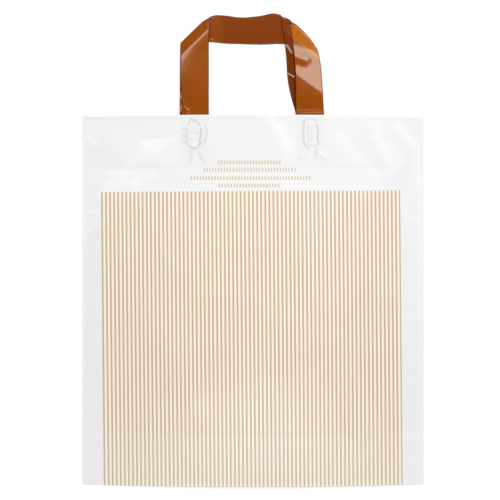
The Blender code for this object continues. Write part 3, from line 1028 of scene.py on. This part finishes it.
@dataclass(frozen=True)
class BagFilm:
    """The bag itself: one film from hem to hem, and the fused bead down each side.

    Attributes:
        shape: How the film lies.
        fold_steps: Faces round each fold.
        bead_height: The beads' height.
        bead_steps: Faces round each bead.
        bead_rows: Rows along each bead, without its ends.
        bead_flatness: The power to which the sine and the cosine of its section are taken, 1 for an oval.
        coarse: The spacing of the grid away from the welds.
        dense: Its spacing about the welds.
        weld_reach: The parts of the panel about the welds, from left to right.
        weld_depth: How far below the mouth the dense part ends.
        middling: The spacing below it as far as the hem's edge, and about the pleat's fold.
        hidden: The spacing along the hems, the pleat's leaves and the back.
        fold_reach: How far past the hem's edge and the pleat's fold the middling spacing goes.
        cut_inset: How far the film's cut edges lie inside the beads.
    """

    shape: FilmShape
    fold_steps: int = 6
    bead_height: float = 0.00052
    bead_steps: int = 16
    bead_rows: int = 96
    bead_flatness: float = 0.25
    coarse: float = 0.0029
    dense: float = 0.00085
    weld_reach: tuple[Point, Point] = ((-0.0705, -0.0455), (0.0495, 0.0720))
    weld_depth: float = 0.036
    middling: float = 0.0016
    hidden: tuple[float, float, float] = (0.004, 0.005, 0.012)
    fold_reach: float = 0.004
    cut_inset: float = 0.0004

    def columns(self) -> Array:
        """The grid's places across the bag, from cut edge to cut edge."""
        shape = self.shape
        edge = shape.width / 2 - self.cut_inset
        (left, left_end), (right, right_end) = self.weld_reach
        breaks = (-edge, -shape.panel_edge, left, left_end, right, right_end, shape.panel_edge, edge)
        coarse, dense = self.coarse, self.dense
        return graded(breaks, (coarse, coarse, dense, coarse, dense, coarse, coarse))

    def runs(self) -> tuple[Run, ...]:
        """The film's six stretches, from the free edge of the front hem to that of the back one."""
        shape = self.shape
        mouth, bottom = shape.mouth, shape.bottom
        hem, pleat = mouth - shape.hem_depth, bottom + shape.pleat_depth
        soft = self.fold_reach
        front = graded(
            (mouth, mouth - self.weld_depth, hem - soft, pleat + soft, pleat - soft, bottom),
            (self.dense, self.middling, self.coarse, self.middling, self.coarse),
        )
        hem_rows, leaf_rows, back_rows = self.hidden
        return (
            Run(shape.front_hem, graded((hem, mouth), (hem_rows,)), folded_start=False),
            Run(shape.front_panel, front),
            Run(shape.front_leaf, graded((bottom, pleat), (leaf_rows,))),
            Run(shape.back_leaf, graded((pleat, bottom), (leaf_rows,))),
            Run(shape.back, graded((bottom, mouth), (back_rows,))),
            Run(shape.back_hem, graded((mouth, hem), (hem_rows,)), folded_end=False),
        )

    def surface(self) -> Array:
        """The film's middle surface.

        At a fold the section is half an ellipse: y goes out and back by the sine of the turn, and z from one
        layer to the next by half of 1 less its cosine.

        Returns:
            The grid of points, as rows along the film, columns across the bag and three coordinates.
        """
        x = self.columns()
        turn = self.shape.layer_step(x) / 2
        runs = self.runs()
        stretches = [run.rows(x, turn) for run in runs]
        angles = np.pi * np.arange(1, self.fold_steps)[:, None] / self.fold_steps
        ys, zs = [], []
        for place, (run, (y, z)) in enumerate(zip(runs, stretches)):
            ys.append(y)
            zs.append(z)
            if place + 1 < len(runs):
                next_z = stretches[place + 1][1]
                ys.append(y[-1] + (run.stations[-1] - y[-1]) * np.sin(angles))
                zs.append(between(z[-1], next_z[0], (1 - np.cos(angles)) / 2))
        y, z = np.concatenate(ys), np.concatenate(zs)
        return self.shape.drawn(np.stack([np.broadcast_to(x, y.shape), y, z], axis=-1))

    def bead(self, side: int) -> Array:
        """The bead down one side: a flat oval carried along the seal.

        Args:
            side: -1 for the left side and 1 for the right one.

        Returns:
            The grid of points, as rows along the bead, columns round it and three coordinates.
        """
        shape = self.shape
        round_it = 2 * np.pi * np.arange(self.bead_steps) / self.bead_steps
        cosine, sine = np.cos(round_it), np.sin(round_it)
        out, up = (np.sign(wave) * np.abs(wave) ** self.bead_flatness for wave in (cosine, sine))
        x = side * ((shape.width - shape.seal_width) / 2 + shape.seal_width / 2 * out)
        z = self.bead_height / 2 * (1 + up)
        inset = self.bead_height / 2
        y = np.linspace(shape.bottom + inset, shape.mouth - inset, self.bead_rows)
        y = np.concatenate([[shape.bottom], y, [shape.mouth]])
        y = y if side > 0 else y[::-1]
        grid = np.stack(np.broadcast_arrays(x[None, :], y[:, None], z[None, :]), axis=-1)
        return shape.drawn(grid)

    def build(self, finish: bpy.types.Material) -> list[bpy.types.Object]:
        """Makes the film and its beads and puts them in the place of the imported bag.

        Args:
            finish: The film's material.

        Returns:
            The pieces.
        """
        shape = self.shape
        points = self.surface()
        film = sheet_mesh("bag_film", points)
        mark(film, "pressed", shape.pressed(points[..., 0], points[..., 1]))
        # The painted highlight along the fine creases, which the material reads.
        mark(film, "crease_highlight", shape.crease_highlight(points[..., 0], points[..., 1]))
        thicken(film, shape.thickness)
        seals = [
            sheet_mesh(name, self.bead(side), tube=True)
            for name, side in (("side_seal_left", -1), ("side_seal_right", 1))
        ]
        pieces = [film, *seals]
        for piece in pieces:
            piece.data.materials.append(finish)
            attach(piece, "root")
        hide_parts("bag_body")
        length = 2 * (shape.height + shape.hem_depth + shape.pleat_depth)
        return pieces


@dataclass(frozen=True)
class Turn:
    """A ribbon's fold at a corner.

    Attributes:
        point: Where the crease crosses the ribbon's middle line.
        crease: The crease's direction.
        across: The direction over the crease.
        half_angle: Half the angle that it turns the ribbon by.
        radius: The fold's radius.
        way: Whether the ribbon turns over or under.
    """

    point: Point
    crease: Point
    across: Point
    half_angle: float
    radius: float
    way: FoldWay

    @staticmethod
    def setback(half_angle: float, radius: float) -> float:
        """How far before its corner the ribbon starts to turn, and how far past it the turn ends."""
        return math.pi * radius / (2 * math.sin(half_angle))

    @classmethod
    def at(cls, corner: Point, into: Point, out_of: Point, radius: float, way: FoldWay) -> "Turn":
        """The fold that takes a ribbon round a corner to the right.

        Args:
            corner: Where the middle lines before and after the fold would meet.
            into: The unit direction before it.
            out_of: The unit direction after it.
            radius: The fold's radius.
            way: Whether the ribbon turns over or under.

        Returns:
            The fold, whose crease lies along the sum of both directions.
        """
        doubled = math.hypot(into[0] + out_of[0], into[1] + out_of[1])
        crease = ((into[0] + out_of[0]) / doubled, (into[1] + out_of[1]) / doubled)
        half_angle = math.acos(doubled / 2)
        back = cls.setback(half_angle, radius)
        point = (corner[0] - back * into[0], corner[1] - back * into[1])
        return cls(point, crease, (-crease[1], crease[0]), half_angle, radius, way)

    @property
    def length(self) -> float:
        """The length of ribbon that the fold takes, along its middle line."""
        return 2 * self.setback(self.half_angle, self.radius)

    @property
    def slant(self) -> float:
        """How far the crease runs along the ribbon for each metre across it."""
        return 1 / math.tan(self.half_angle)

    def past(self, x: Array, y: Array) -> Array:
        """How far each place lies over the crease."""
        return (x - self.point[0]) * self.across[0] + (y - self.point[1]) * self.across[1]

    def fold(self, x: Array, y: Array, z: Array) -> tuple[Array, Array, Array, Array]:
        """Wraps what lies past the crease through half a turn, with no stretch.

        Past the crease the surface runs round a half circle and then back level, so that the reach over the
        crease is the radius times the sine of the angle turned, less what is left after the half circle.

        Args:
            x: Places before the fold.
            y: The same, along Y.
            z: The same, up.

        Returns:
            The places after it, and the share of the half turn that each one has made.
        """
        past = self.past(x, y)
        along = (x - self.point[0]) * self.crease[0] + (y - self.point[1]) * self.crease[1]
        angle = np.clip(past / self.radius, 0.0, np.pi)
        left_over = np.maximum(past - np.pi * self.radius, 0.0)
        reach = np.where(past > 0, self.radius * np.sin(angle) - left_over, past)
        return (
            self.point[0] + along * self.crease[0] + reach * self.across[0],
            self.point[1] + along * self.crease[1] + reach * self.across[1],
            z + self.way.value * self.radius * (1 - np.cos(angle)),
            angle / np.pi,
        )


@dataclass(frozen=True)
class Swell:
    """How a leg lifts beside its fold, by the distance from the crease.

    Attributes:
        distances: Places from the crease inwards.
        slopes: How steeply the leg rises at each of them, away from the crease.
        slew: How much longer the distance counts for each metre to the right of the leg's middle.
        settling: The distance from the crease at which it fully does.
        stations: How many places the slopes are added up at.
    """

    distances: tuple[float, ...]
    slopes: tuple[float, ...]
    slew: float = 0.0
    settling: float = 0.008
    stations: int = 600

    def rise(self, distance: Array, aside: Array) -> Array:
        """The slopes, drawn straight from one place to the next, added up from the crease.

        Args:
            distance: Distances from the crease.
            aside: How far to the right of the leg's middle each place is.

        Returns:
            The leg's lift at each place.
        """
        counted = distance + aside * self.slew * eased(distance / self.settling)
        stations = np.linspace(self.distances[0], self.distances[-1], self.stations)
        slopes = np.interp(stations, self.distances, self.slopes)
        steps = (slopes[1:] + slopes[:-1]) / 2 * np.diff(stations)
        return np.interp(counted, stations, np.concatenate([[0.0], np.cumsum(steps)]))


@dataclass(frozen=True)
class Nudge:
    """A soft push on a ribbon within the plane that it lies in.

    Attributes:
        middle: Where the push is strongest.
        reach: How far it reaches across the bag and along it.
        push: How far it moves the ribbon there, across the bag and along it.
    """

    middle: Point
    reach: Point
    push: Point

    def share(self, x: Array, y: Array) -> Array:
        """e to minus the squares of the distances over the reaches."""
        across, along = (x - self.middle[0]) / self.reach[0], (y - self.middle[1]) / self.reach[1]
        return np.exp(-(across**2) - along**2)


@dataclass(frozen=True)
class Loop:
    """The line of a handle: the middles of its legs at the mouth, their leans, its corners and its folds.

    Attributes:
        left_x: The middle of the left leg at the mouth.
        left_lean: Its lean, in radians, towards +X going up.
        right_x: The middle of the right leg at the mouth.
        right_lean: Its lean.
        left_corner_y: The height of the left corner.
        right_corner_y: The height of the right one.
        fold_radius: The radius of both folds.
        leg_rest: How high the legs lie at the top.
        nudges: Where it leaves its straight line.
    """

    left_x: float
    left_lean: float
    right_x: float
    right_lean: float
    left_corner_y: float
    right_corner_y: float
    fold_radius: float
    leg_rest: float
    nudges: tuple[Nudge, ...]


@dataclass(frozen=True)
class RibbonHandle:
    """One handle: a flat ribbon, folded under at its left corner and over at its right one.

    Attributes:
        handle: Which of the two it is.
        loop: Its line.
        film: How the film lies that its tails are welded to.
        swells: The creases and lifts of the legs beside them, by the folds of the front handle.
        puckers: Its ridges.
        width: The ribbon's width.
        thickness: Its thickness.
        clearance: From the ribbon to the hem.
        columns: Faces across the ribbon.
        row_length: The most that two of its rows are apart.
        fold_rows: Faces round each fold.
        under_share: The part of the legs' lift that the crossbar under them has.
        curl: How far the ribbon's edges lie below its middle line.
        change_over: The width in the middle over which the left swell gives way to the right one.
        foot: The length over the mouth in which the swells come in.
    """

    handle: Handle
    loop: Loop
    film: FilmShape
    swells: tuple[tuple[Turn, Swell], ...]
    puckers: tuple[Crease, ...]
    width: float
    thickness: float = 0.00015
    clearance: float = 0.0003
    columns: int = 30
    row_length: float = 0.0008
    fold_rows: int = 10
    under_share: float = 0.1
    curl: float = 0.00015
    change_over: float = 0.04
    foot: float = 0.020

    @staticmethod
    def lines(loop: Loop, film: FilmShape) -> tuple[Point, Point, Turn, Turn, tuple[float, float, float]]:
        """Where the line of a handle runs.

        Args:
            loop: The handle's line.
            film: How the film lies.

        Returns:
            Where its left tail starts and which way it runs, its two turns, and its three runs' lengths.
        """
        left_rise, right_rise = loop.left_corner_y - film.mouth, loop.right_corner_y - film.mouth
        left_up = (math.sin(loop.left_lean), math.cos(loop.left_lean))
        right_down = (-math.sin(loop.right_lean), -math.cos(loop.right_lean))
        left_corner = (loop.left_x + left_rise * math.tan(loop.left_lean), loop.left_corner_y)
        right_corner = (loop.right_x + right_rise * math.tan(loop.right_lean), loop.right_corner_y)
        span = math.dist(left_corner, right_corner)
        rightwards = ((right_corner[0] - left_corner[0]) / span, (right_corner[1] - left_corner[1]) / span)
        first = Turn.at(left_corner, left_up, rightwards, loop.fold_radius, FoldWay.UNDER)
        second = Turn.at(right_corner, rightwards, right_down, loop.fold_radius, FoldWay.OVER)
        tail = (loop.left_x - film.tail_length * math.tan(loop.left_lean), film.mouth - film.tail_length)
        taken = first.length / 2, second.length / 2
        left_leg = (left_rise + film.tail_length) / math.cos(loop.left_lean) - taken[0]
        right_leg = (right_rise + film.tail_length) / math.cos(loop.right_lean) - taken[1]
        return tail, left_up, first, second, (left_leg, span - sum(taken), right_leg)

    def rows(self, first: Turn, second: Turn, lengths: tuple[float, float, float]) -> tuple[Array, Array]:
        """The ribbon's rows before it is folded, which lie along the creases beside them.

        Args:
            first: The left fold.
            second: The right fold.
            lengths: The lengths of the left leg, the crossbar and the right leg.

        Returns:
            The distance of each row along the middle line, and how far it runs along the ribbon for each
            metre across.
        """
        left_leg, crossbar, right_leg = lengths
        stretches = (
            (left_leg, first.slant, math.ceil(left_leg / self.row_length)),
            (first.length, first.slant, self.fold_rows),
            (crossbar, -second.slant, math.ceil(crossbar / self.row_length)),
            (second.length, -second.slant, self.fold_rows),
            (right_leg, 0.0, math.ceil(right_leg / self.row_length)),
        )
        distances, slants = [np.zeros(1)], [np.zeros(1)]
        for length, end_slant, count in stretches:
            share = np.arange(1, count + 1) / count
            distances.append(distances[-1][-1] + length * share)
            slants.append(between(slants[-1][-1], end_slant, share))
        return np.concatenate(distances), np.concatenate(slants)

    def leg_height(self, x: Array, y: Array) -> Array:
        """How high a leg lies: against its hem inside the mouth, and then down to rest by the crossbar.

        Args:
            x: Places across the bag.
            y: Places along it.

        Returns:
            The height of the ribbon's middle at each place.
        """
        film, loop = self.film, self.loop
        inside = np.minimum(y, film.mouth)
        step = film.thickness / 2 + self.thickness / 2 + self.clearance
        if self.handle is Handle.FRONT:
            tail = film.front_hem(x, inside) - step
        else:
            tail = film.back_hem(x, inside) + step
        free_length = loop.right_corner_y - self.width / 2 - film.mouth
        return between(tail, loop.leg_rest, eased((y - film.mouth) / free_length))

    def lift(self, x: Array, y: Array, turned: Array) -> Array:
        """How far the ribbon swells up beside the folds, less where it runs under the legs.

        Args:
            x: Places across the bag.
            y: Places along it.
            turned: 0 on the legs, 1 on the crossbar under them, and between both in a fold.

        Returns:
            The lift at each place.
        """
        left, right = (swell.rise(-turn.past(x, y), x - turn.point[0]) for turn, swell in self.swells)
        middle = sum(turn.point[0] for turn, _ in self.swells) / 2
        lift = between(left, right, eased((x - middle) / self.change_over + 0.5))
        outside = eased((y - self.film.mouth) / self.foot)
        return lift * outside * between(1.0, self.under_share, turned)

    def surface(self) -> tuple[Array, Array]:
        """The ribbon's middle surface and the same surface laid flat.

        Returns:
            The grid of points, as rows along the ribbon, columns across it and three coordinates, and the
            flat grid: the share of the way across and the distance along in ribbon widths.
        """
        tail, up, first, second, lengths = self.lines(self.loop, self.film)
        distance, slant = self.rows(first, second, lengths)
        across = self.width * np.linspace(-0.5, 0.5, self.columns + 1)[None, :]
        along = distance[:, None] + across * slant[:, None]
        across = np.broadcast_to(across, along.shape)
        x = tail[0] + along * up[0] + across * up[1]
        y = tail[1] + along * up[1] - across * up[0]
        x, y, z, in_first = first.fold(x, y, np.zeros_like(x))
        x, y, z, in_second = second.fold(x, y, z)
        turned = in_first * (1 - in_second)
        shares = [nudge.share(x, y) for nudge in self.loop.nudges]
        x = x + sum(share * nudge.push[0] for share, nudge in zip(shares, self.loop.nudges))
        y = y + sum(share * nudge.push[1] for share, nudge in zip(shares, self.loop.nudges))
        curl = self.curl * (2 * across / self.width) ** 2
        ridges = sum(pucker.rise(x, y) for pucker in self.puckers)
        z = z + self.leg_height(x, y) + self.lift(x, y, turned) + ridges - curl
        flat = np.stack([across / self.width + 0.5, along / self.width], axis=-1)
        return np.stack([x, y, z], axis=-1), flat

    def build(self, finish: bpy.types.Material) -> bpy.types.Object:
        """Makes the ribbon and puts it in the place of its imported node.

        Args:
            finish: The ribbon's material.

        Returns:
            The piece.
        """
        points, flat = self.surface()
        ribbon = sheet_mesh(f"{self.handle.name.lower()}_ribbon", points, flat)
        thicken(ribbon, self.thickness)
        ribbon.data.materials.append(finish)
        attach(ribbon, "root")
        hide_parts(self.handle.value)
        _, _, first, second, lengths = self.lines(self.loop, self.film)
        sum(lengths) + first.length + second.length
        return ribbon


@dataclass(frozen=True)
class Handles:
    """Both handles, folded over together with the back one inside the front one.

    Attributes:
        film: How the film lies that they are welded to.
        top: The top edge of the handles.
        ribbon_width: The ribbons' width.
        step: From the middle of one ribbon to the middle of the other where they lie together.
        inner_radius: The radius of the back handle's folds.
        right_drop: How far the front handle's right corner lies below its left one.
        back_drop: How far the back handle's corners lie below that one.
        leg_spacing: From the middle of a left leg to that of a right one at the mouth.
        front_middle: The middle of the front handle across the bag.
        front_leans: The leans of its left and its right leg.
        back_middle: The middle of the back one.
        back_leans: The leans of its legs.
        left_swell: How the left legs lift beside their fold.
        right_swell: How the front handle's right leg does.
        back_right_swell: How the back one's does, never above it.
        crossbar_nudges: Where both crossbars leave their straight line.
        front_nudges: Where the front handle's right leg leaves its own.
        back_nudges: Where the back handle's right leg does.
        puckers: The ridges of each ribbon.
    """

    film: FilmShape
    top: float = 0.24225
    ribbon_width: float = 0.029
    step: float = 0.00045
    inner_radius: float = 0.0006
    right_drop: float = 0.004
    back_drop: float = 0.0015
    leg_spacing: float = 0.1178
    front_middle: float = -0.0008
    front_leans: Point = (0.0, math.radians(-3.2))
    back_middle: float = -0.0016
    back_leans: Point = (math.radians(0.4), math.radians(-8))
    left_swell: Swell = Swell(
        (-0.0015, 0.0086, 0.0090, 0.0097, 0.0116, 0.0160, 0.025, 0.034, 0.055, 0.065),
        (0.42, 0.42, 0.27, 0.185, 0.115, 0.045, 0.0, -0.13, -0.13, 0.0),
    )
    right_swell: Swell = Swell(
        (-0.0015, 0.0002, 0.0006, 0.0078, 0.0098, 0.0170, 0.0325, 0.0365, 0.063, 0.073),
        (0.45, 0.45, 0.02, 0.02, 0.074, 0.108, 0.13, -0.08, -0.08, 0.0),
        0.19,
    )
    back_right_swell: Swell = Swell(
        (-0.0015, 0.0002, 0.0010, 0.0300, 0.0450, 0.070),
        (0.45, 0.45, 0.01, 0.01, -0.02, 0.0),
    )
    crossbar_nudges: tuple[Nudge, ...] = (
        Nudge((-0.0100, 0.2410), (0.0140, 0.0160), (0.0, -0.0019)),
        Nudge((0.0205, 0.2420), (0.0085, 0.0160), (0.0, 0.0023)),
        Nudge((0.0400, 0.2395), (0.0050, 0.0070), (0.0, -0.0026)),
        Nudge((-0.0455, 0.2415), (0.0050, 0.0060), (0.0010, -0.0018)),
        Nudge((-0.0450, 0.2120), (0.0120, 0.0120), (0.0, 0.0018)),
        Nudge((0.0280, 0.2120), (0.0140, 0.0120), (0.0, 0.0014)),
    )
    front_nudges: tuple[Nudge, ...] = (
        Nudge((0.0687, 0.2097), (0.0090, 0.0150), (-0.0024, 0.0)),
        Nudge((0.0668, 0.2080), (0.0035, 0.0035), (-0.0009, -0.0006)),
        Nudge((-0.0740, 0.1520), (0.0080, 0.0170), (0.0019, 0.0)),
        Nudge((0.0405, 0.1830), (0.0100, 0.0340), (0.0023, 0.0)),
    )
    back_nudges: tuple[Nudge, ...] = (
        Nudge((0.0364, 0.1728), (0.0120, 0.0200), (-0.0021, 0.0)),
        Nudge((0.0426, 0.1420), (0.0100, 0.0080), (0.0013, 0.0)),
    )
    puckers: dict[Handle, tuple[Crease, ...]] = field(
        default_factory=lambda: {
            Handle.FRONT: (
                Crease((-0.0748, 0.1487), (-0.0666, 0.1424), 0.0010, 0.0021),
                Crease((0.0450, 0.1422), (0.0730, 0.1426), 0.0005, 0.0016),
                Crease((0.0420, 0.1995), (0.0535, 0.1955), 0.0013, 0.0062),
            ),
            Handle.BACK: (
                Crease((0.0308, 0.2377), (0.0355, 0.2337), 0.0007, 0.0018),
                Crease((0.0339, 0.2087), (0.0385, 0.2015), 0.0005, 0.0017),
                Crease((0.0345, 0.1808), (0.0431, 0.1759), 0.0005, 0.0013),
                Crease((-0.0440, 0.2150), (-0.0425, 0.2150), 0.0004, 0.0016),
                Crease((-0.0785, 0.1452), (-0.0735, 0.1482), 0.0050, 0.0108),
            ),
        }
    )

    def loops(self) -> dict[Handle, Loop]:
        """The lines of both handles."""
        corner = self.top - self.ribbon_width / 2
        outer_radius = self.inner_radius + self.step
        front_rest = self.step + 2 * outer_radius
        back_corner = corner - self.back_drop
        half = self.leg_spacing / 2
        front = Loop(
            left_x=self.front_middle - half,
            left_lean=self.front_leans[0],
            right_x=self.front_middle + half,
            right_lean=self.front_leans[1],
            left_corner_y=corner,
            right_corner_y=corner - self.right_drop,
            fold_radius=outer_radius,
            leg_rest=front_rest,
            nudges=self.crossbar_nudges + self.front_nudges,
        )
        back = Loop(
            left_x=self.back_middle - half,
            left_lean=self.back_leans[0],
            right_x=self.back_middle + half,
            right_lean=self.back_leans[1],
            left_corner_y=back_corner,
            right_corner_y=back_corner,
            fold_radius=self.inner_radius,
            leg_rest=front_rest - self.step,
            nudges=self.crossbar_nudges + self.back_nudges,
        )
        return {Handle.FRONT: front, Handle.BACK: back}

    def build(self, finishes: dict[Handle, RibbonFinish]) -> list[bpy.types.Object]:
        """Makes both ribbons.

        Args:
            finishes: Each ribbon's finish.

        Returns:
            The pieces.
        """
        loops = self.loops()
        _, _, first, second, _ = RibbonHandle.lines(loops[Handle.FRONT], self.film)
        right_swells = {Handle.FRONT: self.right_swell, Handle.BACK: self.back_right_swell}
        ribbons = []
        for handle, loop in loops.items():
            swells = ((first, self.left_swell), (second, right_swells[handle]))
            ribbon = RibbonHandle(handle, loop, self.film, swells, self.puckers[handle], self.ribbon_width)
            ribbons.append(ribbon.build(finishes[handle].make()))
        return ribbons


@dataclass(frozen=True)
class Softbox:
    """A square lamp with an even glow.

    Attributes:
        name: Its name.
        place: Where it hangs.
        aim: The point that it faces.
        size: Its side.
        radiance: How bright its face is, where 1 is white.
    """

    name: str
    place: tuple[float, float, float]
    aim: tuple[float, float, float]
    size: float
    radiance: float

    def hang(self) -> None:
        """Makes the lamp: its power is its radiance times pi times its area."""
        lamp = bpy.data.lights.new(self.name, "AREA")
        lamp.shape = "SQUARE"
        lamp.size = self.size
        lamp.energy = self.radiance * math.pi * self.size**2
        obj = bpy.data.objects.new(self.name, lamp)
        way = np.array(self.aim) - np.array(self.place)
        off_down = math.acos(-way[2] / np.linalg.norm(way))
        obj.location = self.place
        obj.rotation_euler = (off_down, 0.0, math.atan2(way[1], way[0]) - math.pi / 2)
        bpy.context.scene.collection.objects.link(obj)


@dataclass(frozen=True)
class Studio:
    """The floor, the lamps and the camera that looks straight down.

    Attributes:
        lamps: The softboxes.
        world: The even light from all round.
        floor_size: The floor's side.
        view_middle: The point of the floor in the middle of the picture.
        view_size: The side of the square of floor that the picture shows.
        view_height: How high the camera hangs.
        sensor: The camera's sensor, in millimetres.
    """

    lamps: tuple[Softbox, ...] = (
        Softbox("softbox_right", (0.46, 0.97, 1.55), (0.0, 0.0, 0.0), 0.80, 10.6),
        Softbox("softbox_left", (-0.58, 0.98, 1.60), (0.0, 0.0, 0.0), 0.62, 9.2),
        Softbox("softbox_low", (0.05, -0.95, 1.50), (0.0, -0.05, 0.0), 0.68, 7.2),
    )
    world: float = 0.085
    floor_size: float = 30.0
    view_middle: Point = (-0.00308, 0.0004)
    view_size: float = 0.513
    view_height: float = 2.2
    sensor: float = 36.0

    def lay_floor(self) -> None:
        """Lays a level square of floor under the bag, just clear of it."""
        half = self.floor_size / 2
        side = np.array([-half, half])
        grid = np.stack(np.broadcast_arrays(side[None, :], side[:, None], -0.0002), axis=-1)
        floor = sheet_mesh("floor", grid)
        floor.data.materials.append(FloorFinish().make())

    def light_world(self) -> None:
        """Gives the world one even pale light."""
        world = bpy.data.worlds.new("soft_world")
        world.use_nodes = True
        background = world.node_tree.nodes["Background"]
        background.inputs["Color"].default_value = (1.0, 1.0, 1.0, 1.0)
        background.inputs["Strength"].default_value = self.world
        bpy.context.scene.world = world

    def place_camera(self) -> None:
        """Hangs the camera: its lens is the sensor times the height over the floor that the picture shows."""
        camera = bpy.data.cameras.new("camera")
        camera.sensor_width = self.sensor
        camera.lens = self.sensor * self.view_height / self.view_size
        obj = bpy.data.objects.new("camera", camera)
        obj.location = (*self.view_middle, self.view_height)
        bpy.context.scene.collection.objects.link(obj)
        bpy.context.scene.camera = obj

    def build(self) -> None:
        """Makes the whole studio."""
        self.lay_floor()
        for lamp in self.lamps:
            lamp.hang()
        self.light_world()
        self.place_camera()
        bpy.context.scene.view_settings.view_transform = "Standard"


def report(pieces: Sequence[bpy.types.Object]) -> None:
    """Logs each piece with the number of its faces before its modifiers."""
    for piece in pieces:
        log.info("%s: %d faces", piece.name, len(piece.data.polygons))


def main() -> None:
    """Builds the bag's film, its handles and the studio, in that order."""
    logging.basicConfig(level=logging.INFO, format="%(name)s %(message)s")
    shape = FilmShape()
    report(BagFilm(shape).build(FilmFinish().make()))
    report(Handles(shape).build({Handle.FRONT: RibbonFinish(), Handle.BACK: SHADED_INNER_RIBBON}))
    Studio().build()


if __name__ == "__main__":
    main()
